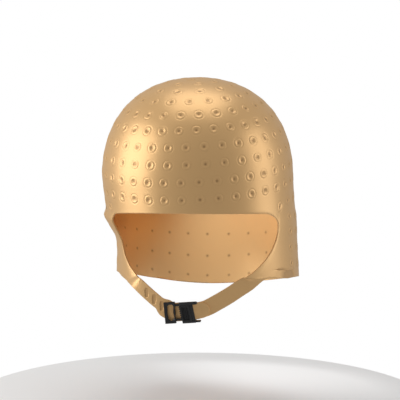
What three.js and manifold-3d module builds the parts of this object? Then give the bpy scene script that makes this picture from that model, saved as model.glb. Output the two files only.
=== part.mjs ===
// Moulded silicone cap with a face opening, rows of ringed marks, two chin straps in one piece with
// the ear flaps, and a plastic buckle that holds the straps together.
// Millimetres, +Z up. The origin is the top of the hollow, where the head carries the cap. The face
// opening looks along -Y, and the right flap is on the +X side.
import * as THREE from "three";
import { mergeVertices } from "three/addons/utils/BufferGeometryUtils.js";
import Module from "manifold-3d";

const wasm = await Module();
wasm.setup();

// Crown and skirt
const wall = 1.5; // thickness of the silicone
const crownHeight = 90; // from the top of the cap to its widest ring
const halfWidth = 87.7; // from the middle to either side at the widest ring
const frontDepth = 91; // from the middle to the forehead
const rearDepth = 93; // from the middle to the back of the head
const crownFullness = 0.03; // how far the dome bulges past an ellipse, as a share
const skirtDrop = 90; // from the widest ring down to the hem at the straps
const napeDrop = 115; // from the widest ring down to the hem at the nape

// Face opening
const browDrop = 25; // from the widest ring down to the brow edge
const browDroopRight = 2.5; // how much lower the brow edge is where its corners begin
const browDroopLeft = 4.9;
const cornerDropRight = 10.5; // height of each rounded corner
const cornerDropLeft = 4;

// Ringed marks
const markRadius = 5.2;
const markRaise = 0.4;
const pitDepth = 0.5;
const rowStep = 9.7; // degrees from one row of marks to the next, measured from the top
const rowLean = 5.5; // degrees by which the pole of the rows leans to the front
const rowRoll = 2.6; // degrees by which it leans to the left
const rowGap = 0.16; // bare share between two rows
const POLE_SHARE = 0.58; // share of a step from the pole to the first row

// Straps
const strapWidth = 14.2; // of the right strap, which the buckle is made for
const leftStrapWidth = 11.4;
const strapSetback = 7; // how far behind the forehead the buckle is
const strapSpan = 105; // half width of the oval that the straps follow, seen from the top
const slotWidth = 3.9; // seen from the front
const slotHeight = 8.6;
const slotDepth = 1; // of the free slots, which don't go right through
const slotPitch = 8.8; // along the left strap
const slotCount = 3; // free slots, up the strap from the one that the buckle's peg is in
const gripWidth = 22; // half-round thin patch at the hem of the right flap
const gripHeight = 8.5;
const gripDepth = 0.5;
const gripAngle = 68; // degrees from the front

// Buckle
const clearance = 0.3;
const buckleDrop = 22.2; // from the hem over the ear down to the middle of the buckle
const buckleSide = 5; // how far it sits to the left of the middle
const buckleTurn = 4.5; // degrees by which its right end is raised
const buckleHeight = 19; // leaves a rail above and below the strap
const pegPlace = -6.4; // from the middle of the buckle to its peg, negative to the left
const tailLength = 4.1; // end of the left strap, beyond the peg
const claspPlace = -0.5; // from the middle of the buckle to the clasp's left edge
const frameLength = 10; // window and middle bar together
const frameLean = 0.3; // how much further right the foot of the frame is than its top
const frameThickness = 2.6;
const barWidth = 2; // bars of the frame, seen from the front
const armReach = 7; // how far the arms of the frame run on into the clasp
const armHeight = 1.9;
const claspLength = 11.7;
const rebateLength = 3; // room behind its left edge for the end of the left strap
const claspLean = 2.4; // the same for the clasp
const plateThickness = 1.8; // front plate of the clasp
const pinRadius = 0.9; // pin that the right strap is folded round
const pinPlace = 8.3; // from the middle of the buckle to that pin
const RIBS = 3; // upright ribs in the recess of the clasp
const ribWidth = 0.8;
const ribRaise = 0.6;
const RECESS_SHARE = 0.6; // share of the clasp's length that the recess takes
const railOverlap = 0.6; // how far the pin runs into each rail
const leverThickness = 2.8;
const leverLength = 16.6;
const lipLength = 6; // thin lip at the foot of the clasp
const lipHeight = 1.2;
const edgeRadius = 0.3; // rounding of the buckle's small corners
const lapLength = 16; // end of the right strap, folded back over its front

// Rows of marks on the crown, from the top down. turn is a share of the pitch.
const CROWN_ROWS = [
  { marks: 3, turn: 0.0 },
  { marks: 8, turn: 0.41 },
  { marks: 12, turn: 0.53 },
  { marks: 19, turn: 0.12 },
  { marks: 25, turn: 0.7 },
  { marks: 30, turn: 0.62 },
  { marks: 32, turn: 0.03 },
  { marks: 32, turn: 0.03 },
  { marks: 35, turn: 0.7 },
  { marks: 35, turn: 0.7 },
];

// Lines between the rows of marks below the crown, down to the hem. edge is a share of the way down
// the edge of the face opening, side and leftSide are over the ears as shares of skirtDrop, and nape
// is a share of napeDrop. right and left are where the edge of the face opening lies, in degrees from
// the front.
const SKIRT_LINES = [
  { edge: 0.0, side: 0.3, leftSide: 0.3, nape: 0.285, right: 58.5, left: 57 },
  { edge: 0.23, side: 0.44, leftSide: 0.44, nape: 0.487, right: 57, left: 58.5 },
  { edge: 0.44, side: 0.595, leftSide: 0.595, nape: 0.668, right: 53.5, left: 58.5 },
  { edge: 0.63, side: 0.755, leftSide: 0.755, nape: 0.857, right: 48.5, left: 56 },
  { edge: 0.83, side: 0.905, leftSide: 0.905, nape: 0.99, right: 41, left: 49 },
  { edge: 1.0, side: 0.985, leftSide: 0.952, nape: 1.0, right: 33, left: 40 },
];
const EDGE_RISE = 0.083; // how much higher than skirtDrop the edge ends, as a share
const LEFT_BULGE = [0, 0.03, 0.06, 0.03, 0]; // how far the left hem sags at its strap, as shares
const NAPE_START = 62; // where the hem begins to fall to the nape, in degrees from the front

// Where the rounded corners of the face opening begin, in degrees from the front
const CORNERS = {
  right: { start: 46, droop: browDroopRight, drop: cornerDropRight },
  left: { start: 54, droop: browDroopLeft, drop: cornerDropLeft },
};
const FIRST_EDGE = 55.5; // where the edge column lies on the line below the crown

// Edges of the columns of marks on the right half of the skirt, in degrees from the front
const COLUMN_EDGES = [66.5, 78, 90, 103.5, 118, 133, 146.5, 160, 173];
const BORDER_SHARES = [0, 0.22, 0.45, 0.73, 1]; // columns from the opening to the first marks
const STRAP_COLUMNS = 2; // of these, the ones that run on into the strap
const BROW_COLUMNS = 12; // columns on each half of the brow, of which the last lie round its corner
const CORNER_COLUMNS = 3;

// Width of the skirt below the widest ring: down is a share of skirtDrop, left and right of halfWidth
const SKIRT_WIDTHS = [
  { down: 0.0, left: 1.0, right: 1.0 },
  { down: 0.2, left: 0.975, right: 1.012 },
  { down: 0.33, left: 0.962, right: 1.024 },
  { down: 0.4, left: 0.98, right: 1.036 },
  { down: 0.47, left: 0.94, right: 1.042 },
  { down: 0.6, left: 0.862, right: 1.046 },
  { down: 0.73, left: 0.843, right: 1.052 },
  { down: 1.0, left: 0.85, right: 1.068 },
  { down: 1.28, left: 0.86, right: 1.075 },
];
const NAPE_EASE = 0.45; // share of the left side's pull that is left at the nape

// Middle line of each strap from its flap to the buckle, where it runs on level with the buckle. Seen
// from the front, out is a share of halfWidth and down of the way from the hem over the ear to the
// buckle.
const RIGHT_STRAP = [
  { out: 0.54, down: 0.045 },
  { out: 0.415, down: 0.36 },
  { out: 0.305, down: 0.61 },
  { out: 0.183, down: 0.86 },
  { out: 0.09, down: 0.95 },
];
const LEFT_STRAP = [
  { out: -0.536, down: -0.06 },
  { out: -0.417, down: 0.315 },
  { out: -0.3, down: 0.67 },
  { out: -0.2, down: 0.94 },
];
const STRAP_STATIONS = 12; // steps along each strap, round its fold and along its lap
const FOLD_STATIONS = 5;
const LAP_STATIONS = 8;
const SKIPPED_SLOTS = 0.48; // pitches between the peg and the first free slot, past the usual one

// Window of the frame. across is a share of the way from its left bar to its middle bar, and up is a
// share of half the buckle's height.
const FRAME_WINDOW = [
  { across: 0.03, up: 0.64 },
  { across: 0.35, up: 0.75 },
  { across: 0.75, up: 0.75 },
  { across: 1.0, up: 0.62 },
  { across: 0.9, up: 0.02 },
  { across: 1.05, up: -0.53 },
  { across: 0.5, up: -0.78 },
  { across: 0.08, up: -0.57 },
  { across: 0.0, up: 0.05 },
];

const strapReach = frontDepth - strapSetback;
const rad = THREE.MathUtils.degToRad;
const deg = THREE.MathUtils.radToDeg;
const mix = THREE.MathUtils.lerp;
const ease = THREE.MathUtils.smoothstep;
const dropPerDegree = rad(crownHeight);
const fallOf = (drop) => 90 + drop / dropPerDegree;
const dropOf = (fall) => (fall - 90) * dropPerDegree;

// Reads a column of a table at a place given on another column
function readTable(table, at, place, column) {
  let i = 0;
  while (i < table.length - 2 && place > table[i + 1][at]) i += 1;
  const [a, b] = [table[i], table[i + 1]];
  return mix(a[column], b[column], (place - a[at]) / (b[at] - a[at]));
}

// Outer surface of the cap. angle is in degrees from the front towards +X. fall is in degrees from
// the top to the widest ring at 90, and goes on below it at the same scale.
function capSurface(angle, fall) {
  const a = rad(angle);
  const p = rad(Math.min(fall, 90));
  const drop = Math.max(dropOf(fall), 0);
  const full = 1 + crownFullness * Math.sin(2 * p) ** 2;
  const right = readTable(SKIRT_WIDTHS, "down", drop / skirtDrop, "right");
  const pulled = readTable(SKIRT_WIDTHS, "down", drop / skirtDrop, "left");
  const left = mix(1, pulled, mix(NAPE_EASE, 1, ease(Math.cos(a), -0.9, 0.2)));
  const side = (Math.sin(a) > 0 ? right : left) * halfWidth;
  const depth = Math.cos(a) > 0 ? frontDepth : rearDepth;
  const out = Math.sin(p) * full;
  return new THREE.Vector3(
    side * Math.sin(a) * out,
    -depth * Math.cos(a) * out,
    wall - crownHeight * (1 - Math.cos(p) * full) - drop,
  );
}

function capNormal(angle, fall) {
  if (fall < 0.5) return new THREE.Vector3(0, 0, 1);
  const across = capSurface(angle + 0.5, fall).sub(capSurface(angle - 0.5, fall));
  const down = capSurface(angle, fall + 0.25).sub(capSurface(angle, fall - 0.25));
  return down.cross(across).normalize();
}

// A point at a height above or below the outer surface
function capPoint([angle, fall], height) {
  return capSurface(angle, fall).addScaledVector(capNormal(angle, fall), height);
}

const signedAngle = (angle) => (angle > 180 ? angle - 360 : angle);

// Drop of the right half of the hem from the widest ring
function hemDrop(angle) {
  const { side } = SKIRT_LINES[SKIRT_LINES.length - 1];
  return mix(side * skirtDrop, napeDrop, ease(Math.abs(signedAngle(angle)), NAPE_START, 180));
}

// Sinks the outer surface at the half-round grip by the hem of the right flap
function gripHeightAt([angle, fall]) {
  const across = (rad(angle - gripAngle) * halfWidth) / (gripWidth / 2);
  const up = (hemDrop(angle) - dropOf(fall)) / gripHeight;
  return Math.hypot(across, up) < 1.01 ? -gripDepth : 0;
}

// Place on the cap of a direction round the leaning pole of the rows of marks
function rowPlace([angle, fromPole]) {
  const v = new THREE.Vector3(
    Math.sin(rad(fromPole)) * Math.sin(rad(angle)),
    -Math.sin(rad(fromPole)) * Math.cos(rad(angle)),
    Math.cos(rad(fromPole)),
  );
  v.applyAxisAngle(new THREE.Vector3(1, 0, 0), rad(rowLean));
  v.applyAxisAngle(new THREE.Vector3(0, 1, 0), rad(-rowRoll));
  const fall = deg(Math.acos(THREE.MathUtils.clamp(v.z, -1, 1)));
  return [deg(Math.atan2(v.x, -v.y)), fall];
}

// The cap is collected as loose triangles whose shared corners are merged at the end
const soup = [];
const addTriangle = (a, b, c) => soup.push(a, b, c);

// A place is an angle and a fall. A line is a list of places, each after the value that orders it.
function layOuter(a, b, c) {
  addTriangle(...[a, b, c].map(([, ...at]) => capPoint(at, gripHeightAt(at))));
}

function layInner(a, b, c) {
  addTriangle(...[a, c, b].map(([, ...at]) => capPoint(at, -wall)));
}

// Joins an upper and a lower line that need not have as many places
function joinLines(upper, lower, layers = [layOuter, layInner]) {
  let [i, j] = [0, 0];
  while (i < upper.length - 1 || j < lower.length - 1) {
    const [a, b] = [upper[i], lower[j]];
    const [nextA, nextB] = [upper[i + 1], lower[j + 1]];
    const along = !nextB || (nextA && Math.abs(nextA[0] - b[0]) <= Math.abs(nextB[0] - a[0]));
    layers.forEach((lay) => lay(a, b, along ? nextA : nextB));
    if (along) i += 1;
    else j += 1;
  }
}

// Lays a cell between two lines, with a raised ring round a pit on its outer side. toPlace turns a
// pair of the row's own coordinates into a place.
function layMark(upper, lower, toPlace) {
  const pinned = [upper, lower].map((line) => line.map((at) => [at[0], ...toPlace(at)]));
  joinLines(...pinned, [layInner]);
  const outline = [...lower, ...[...upper].reverse()];
  const n = outline.length;
  const middle = [0, 1].map((k) => outline.reduce((sum, at) => sum + at[k], 0) / n);
  const surface = (at) => capSurface(...toPlace(at));
  const acrossStep = surface([middle[0] + 1, middle[1]]).distanceTo(surface(middle));
  const downStep = surface([middle[0], middle[1] + 1]).distanceTo(surface(middle));
  const ring = outline.map((at) => {
    const x = (at[0] - middle[0]) * acrossStep;
    const y = (at[1] - middle[1]) * downStep;
    const reach = markRadius / Math.hypot(x, y);
    const out = [middle[0] + (x * reach) / acrossStep, middle[1] + (y * reach) / downStep];
    return capPoint(toPlace(out), markRaise);
  });
  const pit = capPoint(toPlace(middle), -pitDepth);
  outline.forEach((at, i) => {
    const j = (i + 1) % n;
    const [a, b] = [at, outline[j]].map(toPlace).map((spot) => capPoint(spot, gripHeightAt(spot)));
    addTriangle(a, b, ring[j]);
    addTriangle(a, ring[j], ring[i]);
    addTriangle(ring[i], ring[j], pit);
  });
}

// Lays the crown from its top down, and returns its lowest line
function layCrown() {
  const pin = (at) => [at[0], ...rowPlace(at)];
  const top = pin([0, 0]);
  let above = null;
  CROWN_ROWS.forEach((row, k) => {
    const middle = rowStep * (k + POLE_SHARE);
    const half = (rowStep * (1 - rowGap)) / 2;
    const pitch = 360 / row.marks;
    const first = Math.round(-FIRST_EDGE / pitch) + row.turn - 0.5;
    const line = (fromPole) =>
      Array.from({ length: 2 * row.marks + 1 }, (_, i) => [pitch * (first + i / 2), fromPole]);
    const [upper, lower] = [line(middle - half), line(middle + half)];
    const pinned = upper.map(pin);
    if (above) joinLines(above, pinned);
    else pinned.slice(1).forEach((at, i) => joinLines([top], [pinned[i], at]));
    for (let i = 0; i < row.marks; i += 1) {
      layMark(upper.slice(2 * i, 2 * i + 3), lower.slice(2 * i, 2 * i + 3), rowPlace);
    }
    above = lower.map(pin);
  });
  return above;
}

// Angles of the columns of one line of the skirt, from the opening's right edge round the nape to
// its left edge
function columnAngles(right, left) {
  const cells = COLUMN_EDGES.slice(1).flatMap((angle, i) => [
    (angle + COLUMN_EDGES[i]) / 2,
    angle,
  ]);
  const half = (edge) => [
    ...BORDER_SHARES.map((share) => mix(edge, COLUMN_EDGES[0], share)),
    ...cells,
  ];
  return [...half(right), 180, ...half(left).map((angle) => 360 - angle).reverse()];
}

// Drop of the brow edge on the way to a corner, at a share of the way
const browAt = (corner, share) => browDrop + corner.droop * share ** 2;

// Brow edge from its middle to the end of one corner, as pairs of an angle and a drop
function browHalf(corner, end, sign) {
  const straight = BROW_COLUMNS - CORNER_COLUMNS;
  return Array.from({ length: BROW_COLUMNS + 1 }, (_, i) => {
    if (i <= straight) return [(sign * corner.start * i) / straight, browAt(corner, i / straight)];
    const turn = ((i - straight) / CORNER_COLUMNS) * (Math.PI / 2);
    const angle = mix(corner.start, end, Math.sin(turn));
    return [sign * angle, browAt(corner, 1) + corner.drop * (1 - Math.cos(turn))];
  });
}

// One line of the skirt from the opening's right edge round to its left edge
function skirtLine(row) {
  const angles = columnAngles(row.right, row.left);
  const last = angles.length - 1;
  const border = BORDER_SHARES.length - 1;
  return angles.map((angle, i) => {
    const isRight = i < last / 2;
    const nape = ease(Math.abs(signedAngle(angle)), NAPE_START, 180);
    const side = (isRight ? row.side : row.leftSide) * skirtDrop;
    const level = mix(side, row.nape * napeDrop, nape);
    const corner = isRight ? CORNERS.right : CORNERS.left;
    const edge = mix(browAt(corner, 1) + corner.drop, skirtDrop * (1 - EDGE_RISE), row.edge);
    const column = Math.min(i, last - i, border);
    const sag = !isRight && row.edge === 1 ? LEFT_BULGE[column] * skirtDrop : 0;
    return [angle, angle, fallOf(mix(edge, level, BORDER_SHARES[column]) + sag)];
  });
}

// Lays the brow and the skirt below the crown, and returns the lines that bound the opening
function laySkirt(above) {
  const under = rowStep * (CROWN_ROWS.length - 0.5 + POLE_SHARE);
  const right = browHalf(CORNERS.right, SKIRT_LINES[0].right, 1);
  const left = browHalf(CORNERS.left, SKIRT_LINES[0].left, -1);
  const brow = [...left.slice(1).reverse(), ...right].map(([angle, drop]) => [
    angle,
    angle,
    fallOf(drop),
  ]);
  const steps = brow.length - 1;
  const front = brow.map((_, i) => mix(-FIRST_EDGE, FIRST_EDGE, i / steps));
  const rear = columnAngles(FIRST_EDGE, FIRST_EDGE);
  const pin = (angle) => [angle, ...rowPlace([angle, under])];
  joinLines(above, [...front, ...rear.slice(1)].map(pin));
  joinLines(front.map(pin), brow);
  const lines = [rear.map(pin), ...SKIRT_LINES.map(skirtLine)];
  const last = rear.length - 1;
  const border = BORDER_SHARES.length - 1;
  lines.slice(1).forEach((lower, k) => {
    const hem = k === SKIRT_LINES.length - 1;
    for (let i = 0; i < last; ) {
      const inCell = i >= border && i < last - border;
      const atEnd = k === 0 && !inCell;
      const step = atEnd ? border : inCell ? 2 : 1;
      const [a, b] = [lines[k], lower].map((line) => line.slice(i, i + step + 1));
      if (hem || (!inCell && !atEnd)) joinLines(a, b);
      else layMark(...[a, b].map((line) => line.map(unwound)), (place) => place);
      i += step;
    }
  });
  return { brow, lines };
}

// Place of a line's point, its angle counted on past the nape so that a cell has no seam in it
const unwound = ([, angle, fall]) => [angle < 0 ? angle + 360 : angle, fall];

// Corners of the two skins at a place, or at a point with its outward direction
const pairAt = ([, ...at]) => [capPoint(at, gripHeightAt(at)), capPoint(at, -wall)];
const pairFrom = (point, normal) => [point, point.clone().addScaledVector(normal, -wall)];

const hemHeight = wall - crownHeight - skirtDrop;
const buckleMiddle = new THREE.Vector3(-buckleSide, -strapReach, hemHeight - buckleDrop);

// Depth and outward direction of the oval that the straps follow
const ovalDepth = (x) => -strapReach * Math.sqrt(1 - (x / strapSpan) ** 2);
const ovalNormal = (x) =>
  new THREE.Vector3(x / strapSpan ** 2, ovalDepth(x) / strapReach ** 2, 0).normalize();

// Point of the buckle's level, at a distance to the right of its middle
function alongBuckle(place) {
  const turn = rad(buckleTurn);
  return new THREE.Vector3(place * Math.cos(turn), 0, place * Math.sin(turn)).add(
    buckleMiddle.clone().setY(0),
  );
}

// Middle line of a strap seen from the front, from the middle of its root to its end in the buckle
function strapPath(table, root, ...ends) {
  const points = table.map(
    ({ out, down }) => new THREE.Vector3(out * halfWidth, 0, hemHeight - down * buckleDrop),
  );
  const level = ends.map(alongBuckle);
  return new THREE.CatmullRomCurve3([root.clone().setY(0), ...points, ...level]);
}

// Three pairs across a strap: its upper edge, its middle and its lower edge
function strapRow(middle, normal, along, side, half) {
  const across = normal.clone().cross(along).multiplyScalar(side).normalize();
  return [-1, 0, 1].map((s) =>
    pairFrom(middle.clone().addScaledVector(across, s * half), normal),
  );
}

function pathRow(path, share, side, half, lift = 0) {
  const at = path.getPointAt(share);
  const slope = path.getTangentAt(share);
  const normal = ovalNormal(at.x);
  const forward = ovalDepth(at.x + slope.x * 0.5) - ovalDepth(at.x - slope.x * 0.5);
  const along = new THREE.Vector3(slope.x, forward, slope.z).normalize();
  const middle = at.setY(ovalDepth(at.x)).addScaledVector(normal, lift);
  const turned = lift > 0 ? -1 : 1;
  return strapRow(middle, normal.multiplyScalar(turned), along.multiplyScalar(turned), side, half);
}

function strapRows(path, rootRow, side, width) {
  const rows = [rootRow];
  for (let i = 2; i <= STRAP_STATIONS; i += 1) {
    rows.push(pathRow(path, i / STRAP_STATIONS, side, width / 2));
  }
  return rows;
}

// The end of the right strap turns round the pin of the clasp and lies back on the strap's front
function addLap(path, rows) {
  const turn = pinRadius + clearance;
  const end = path.getPointAt(1);
  const front = new THREE.Vector3(0, -1, 0);
  const along = new THREE.Vector3(-Math.cos(rad(buckleTurn)), 0, -Math.sin(rad(buckleTurn)));
  const pin = end.setY(ovalDepth(end.x)).addScaledVector(front, turn);
  for (let i = 1; i <= FOLD_STATIONS; i += 1) {
    const a = (i / FOLD_STATIONS) * Math.PI;
    const out = front.clone().multiplyScalar(-Math.cos(a)).addScaledVector(along, Math.sin(a));
    const run = along.clone().multiplyScalar(Math.cos(a)).addScaledVector(front, Math.sin(a));
    const middle = pin.clone().addScaledVector(out, turn);
    rows.push(strapRow(middle, out.negate(), run, 1, strapWidth / 2));
  }
  const length = path.getLength();
  for (let i = 1; i <= LAP_STATIONS; i += 1) {
    const way = (lapLength * i) / LAP_STATIONS;
    const lift = mix(2 * turn, clearance, ease(way, 0, lapLength * 0.6));
    const round = Math.max(0, way - lapLength + strapWidth / 2) / (strapWidth / 2);
    const half = (strapWidth / 2) * Math.max(Math.sqrt(1 - Math.min(round, 1) ** 2), 0.25);
    rows.push(pathRow(path, 1 - way / length, 1, half, lift));
  }
}

function layStrap(rows, side) {
  rows.slice(1).forEach((next, k) => {
    const [west, east] = side > 0 ? [next, rows[k]] : [rows[k], next];
    for (let i = 0; i < 2; i += 1) {
      const [a, b, c, d] = [west[i], west[i + 1], east[i + 1], east[i]];
      addTriangle(a[0], b[0], d[0]);
      addTriangle(b[0], c[0], d[0]);
      addTriangle(a[1], d[1], b[1]);
      addTriangle(b[1], d[1], c[1]);
    }
  });
}

// Closes the wall along the whole edge of the sheet, a ring of pairs with the sheet on its left
function layEdge(ring) {
  ring.forEach((a, i) => {
    const b = ring[(i + 1) % ring.length];
    addTriangle(b[0], a[0], a[1]);
    addTriangle(b[0], a[1], b[1]);
  });
}

function solidOf(geometry) {
  const bare = new THREE.BufferGeometry().setAttribute("position", geometry.attributes.position);
  const merged = mergeVertices(geometry.index ? bare.setIndex(geometry.index) : bare, 1e-4);
  return new wasm.Manifold(
    new wasm.Mesh({
      numProp: 3,
      vertProperties: new Float32Array(merged.attributes.position.array),
      triVerts: new Uint32Array(merged.index.array),
    }),
  );
}

function geometryOf(solid) {
  const { vertProperties, triVerts } = solid.getMesh();
  const geometry = new THREE.BufferGeometry();
  geometry.setAttribute("position", new THREE.BufferAttribute(vertProperties, 3));
  geometry.setIndex(new THREE.BufferAttribute(triVerts, 1));
  const flat = geometry.toNonIndexed();
  flat.computeVertexNormals();
  return flat;
}

// A shape seen from the front, as a plate that reaches from one depth to another, front first
function plate(shape, front, back, curveSegments = 4) {
  const depth = back - front;
  const geometry = new THREE.ExtrudeGeometry(shape, { depth, bevelEnabled: false, curveSegments });
  return solidOf(geometry.rotateX(Math.PI / 2).translate(0, back, 0));
}

const outline = (points) => new THREE.Shape(points.map(([x, z]) => new THREE.Vector2(x, z)));

function roundedBox(x, z, width, height, radius) {
  const [w, h] = [width / 2, height / 2];
  const shape = new THREE.Shape();
  shape.absarc(x + w - radius, z - h + radius, radius, -Math.PI / 2, 0);
  shape.absarc(x + w - radius, z + h - radius, radius, 0, Math.PI / 2);
  shape.absarc(x - w + radius, z + h - radius, radius, Math.PI / 2, Math.PI);
  shape.absarc(x - w + radius, z - h + radius, radius, Math.PI, Math.PI * 1.5);
  return shape;
}

// The slot that the buckle's peg is in, and the free slots up the left strap
function slotPlaces(path) {
  const length = path.getLength();
  const pegX = buckleMiddle.x + pegPlace;
  let share = 1;
  while (share > 0 && path.getPointAt(share).x > pegX) share -= 0.002;
  const places = [path.getPointAt(share)];
  for (let i = 1; i <= slotCount; i += 1) {
    const at = share - ((i + SKIPPED_SLOTS) * slotPitch) / length;
    places.push(path.getPointAt(Math.max(at, 0)));
  }
  return places;
}

function makeCap() {
  const { brow, lines } = laySkirt(layCrown());
  const hem = lines[lines.length - 1];
  const roots = { right: hem.slice(0, STRAP_COLUMNS + 1), left: hem.slice(-STRAP_COLUMNS - 1) };
  const [rightRoot, leftRoot] = [roots.right.map(pairAt), roots.left.map(pairAt).reverse()];
  const rightPath = strapPath(RIGHT_STRAP, rightRoot[1][0], pinPlace);
  const leftPath = strapPath(LEFT_STRAP, leftRoot[1][0], pegPlace, pegPlace + tailLength);
  const right = strapRows(rightPath, rightRoot, 1, strapWidth);
  const left = strapRows(leftPath, leftRoot, -1, leftStrapWidth);
  addLap(rightPath, right);
  layStrap(right, 1);
  layStrap(left, -1);
  const sides = lines.slice(2, -1);
  const down = right.map((row) => row[0]);
  const back = right.slice(1).map((row) => row[2]);
  const out = left.slice(1).map((row) => row[2]);
  const up = left.map((row) => row[0]);
  layEdge([
    ...brow.map(pairAt),
    ...sides.map((line) => pairAt(line[0])),
    ...down,
    right[right.length - 1][1],
    ...back.reverse(),
    ...hem.slice(STRAP_COLUMNS, -STRAP_COLUMNS).map(pairAt),
    ...out,
    left[left.length - 1][1],
    ...up.reverse(),
    ...sides.map((line) => pairAt(line[line.length - 1])).reverse(),
  ]);
  let cap = solidOf(new THREE.BufferGeometry().setFromPoints(soup));
  slotPlaces(leftPath).forEach(({ x, z }, i) => {
    const slot = roundedBox(x, z, slotWidth, slotHeight, slotWidth / 2.4);
    const back = i === 0 ? 3 * wall : slotDepth;
    cap = cap.subtract(plate(slot, ovalDepth(x) - 2 * wall, ovalDepth(x) + back, 2));
  });
  return geometryOf(cap);
}

// Left edge of the clasp at a height above the middle of the buckle
const claspStart = (z) => claspPlace - (claspLean * z) / buckleHeight;

// Frame of the buckle: a window each side of a middle bar, a peg through the strap, and two arms
function makeFrame() {
  const top = buckleHeight / 2;
  const end = pegPlace + barWidth / 2;
  const start = end - frameLength;
  const shape = outline([
    [start, top],
    [start + frameLean, -top],
    [end, -top],
    [end - barWidth * 0.2, 0],
    [end, top],
  ]);
  const [left, right] = [start + barWidth * 1.45, end - barWidth * 0.8];
  const corners = FRAME_WINDOW.map(({ across, up }) => [mix(left, right, across), up * top]);
  shape.holes.push(outline(corners));
  const face = -clearance;
  let frame = plate(shape, face - frameThickness, face);
  [1, -1].forEach((sign) => {
    const level = sign * (top - barWidth - armHeight / 2);
    const rooted = armReach + barWidth / 2;
    const arm = roundedBox(end + armReach - rooted / 2, level, rooted, armHeight, edgeRadius);
    frame = frame.add(plate(arm, face - frameThickness * 0.8, face - frameThickness * 0.2));
  });
  const peg = roundedBox(pegPlace, 0, barWidth * 0.8, slotHeight * 0.6, edgeRadius);
  return geometryOf(frame.add(plate(peg, face - frameThickness / 2, wall + clearance * 3)));
}

// Clasp of the buckle: a front plate with a ribbed recess, sockets for the arms, a mouth for the
// folded strap with the pin across it, a thick lever along the top and a lip at the foot
function makeClasp() {
  const top = buckleHeight / 2;
  const fold = 2 * (pinRadius + clearance + wall);
  const front = wall + clearance - fold - 2 * clearance - plateThickness;
  const back = wall + clearance;
  const slanted = (from, to, high, low) =>
    outline([
      [claspStart(high) + from, high],
      [claspStart(low) + from, low],
      [claspStart(low) + to, low],
      [claspStart(high) + to, high],
    ]);
  let clasp = plate(slanted(0, claspLength, top, -top), front, back);
  const inside = strapWidth / 2 + clearance;
  const mouth = pinPlace - pinRadius - 2 * clearance - wall;
  const cavity = roundedBox(mouth + claspLength, 0, claspLength * 2, inside * 2, edgeRadius);
  clasp = clasp.subtract(plate(cavity, front + plateThickness, back + wall));
  const rebate = roundedBox(claspPlace, 0, 2 * rebateLength, inside * 2, edgeRadius);
  clasp = clasp.subtract(plate(rebate, -clearance, back + wall));
  const recess = slanted(barWidth / 2, claspLength * RECESS_SHARE, top * 0.5, -top * 0.68);
  const floor = front + plateThickness * 0.6;
  clasp = clasp.subtract(plate(recess, front - wall, floor));
  for (let i = 1; i <= RIBS; i += 1) {
    const at = (claspLength * RECESS_SHARE * i) / (RIBS + 1);
    const rib = slanted(at, at + ribWidth, top * 0.52, -top * 0.7);
    clasp = clasp.add(plate(rib, floor - ribRaise, floor + ribRaise / 4));
  }
  const groove = slanted(claspLength * 0.72, claspLength * 0.72 + ribWidth, top * 0.7, -top * 0.8);
  clasp = clasp.subtract(plate(groove, front - wall, front + plateThickness * 0.4));
  [1, -1].forEach((sign) => {
    const level = sign * (top - barWidth - armHeight / 2);
    const room = armHeight + 2 * clearance;
    const deep = 0.8 * frameThickness + 2 * clearance;
    const reach = pegPlace + barWidth / 2 + armReach + clearance;
    const cut = outline([
      [claspPlace - claspLean * 2, level - room / 2],
      [reach, level - room / 2],
      [reach, level + room / 2],
      [claspPlace - claspLean * 2, level + room / 2],
    ]);
    clasp = clasp.subtract(plate(cut, -deep, -0.2 * frameThickness));
  });
  const pin = new THREE.CylinderGeometry(pinRadius, pinRadius, 2 * inside + railOverlap, 12);
  pin.rotateX(Math.PI / 2);
  const pinDepth = ovalDepth(buckleMiddle.x + pinPlace) + strapReach - pinRadius - clearance;
  clasp = clasp.add(solidOf(pin.translate(pinPlace, pinDepth, 0)));
  const lever = new THREE.CapsuleGeometry(leverThickness / 2, leverLength - leverThickness, 4, 10);
  lever.rotateZ(Math.PI / 2).translate(
    claspStart(top) + leverLength / 2,
    front + leverThickness * 0.3,
    top - leverThickness / 2,
  );
  clasp = clasp.add(solidOf(lever));
  const foot = claspStart(-top) + claspLength + lipLength / 8;
  const lip = roundedBox(foot, (lipHeight - buckleHeight) / 2, lipLength, lipHeight, edgeRadius);
  return geometryOf(clasp.add(plate(lip, front + plateThickness, back)));
}

const silicone = new THREE.MeshStandardMaterial({
  color: 0xc9975e,
  roughness: 0.42,
  metalness: 0.0,
});
const blackPlastic = new THREE.MeshStandardMaterial({
  color: 0x1a1b1d,
  roughness: 0.35,
  metalness: 0.0,
});

function piece(name, geometry, material) {
  const mesh = new THREE.Mesh(geometry, material);
  mesh.name = name;
  return mesh;
}

const buckle = new THREE.Group();
buckle.position.copy(buckleMiddle);
buckle.rotation.y = rad(-buckleTurn);
buckle.add(piece("buckle_frame", makeFrame(), blackPlastic));
buckle.add(piece("buckle_clasp", makeClasp(), blackPlastic));

const swimCap = new THREE.Group();
swimCap.add(piece("cap", makeCap(), silicone), buckle);
export default swimCap;
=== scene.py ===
# Moulded silicone cap with rows of ringed marks, a face opening and a fastened plastic buckle
import math

import bmesh
import bpy
from mathutils import Matrix, Vector


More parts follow.
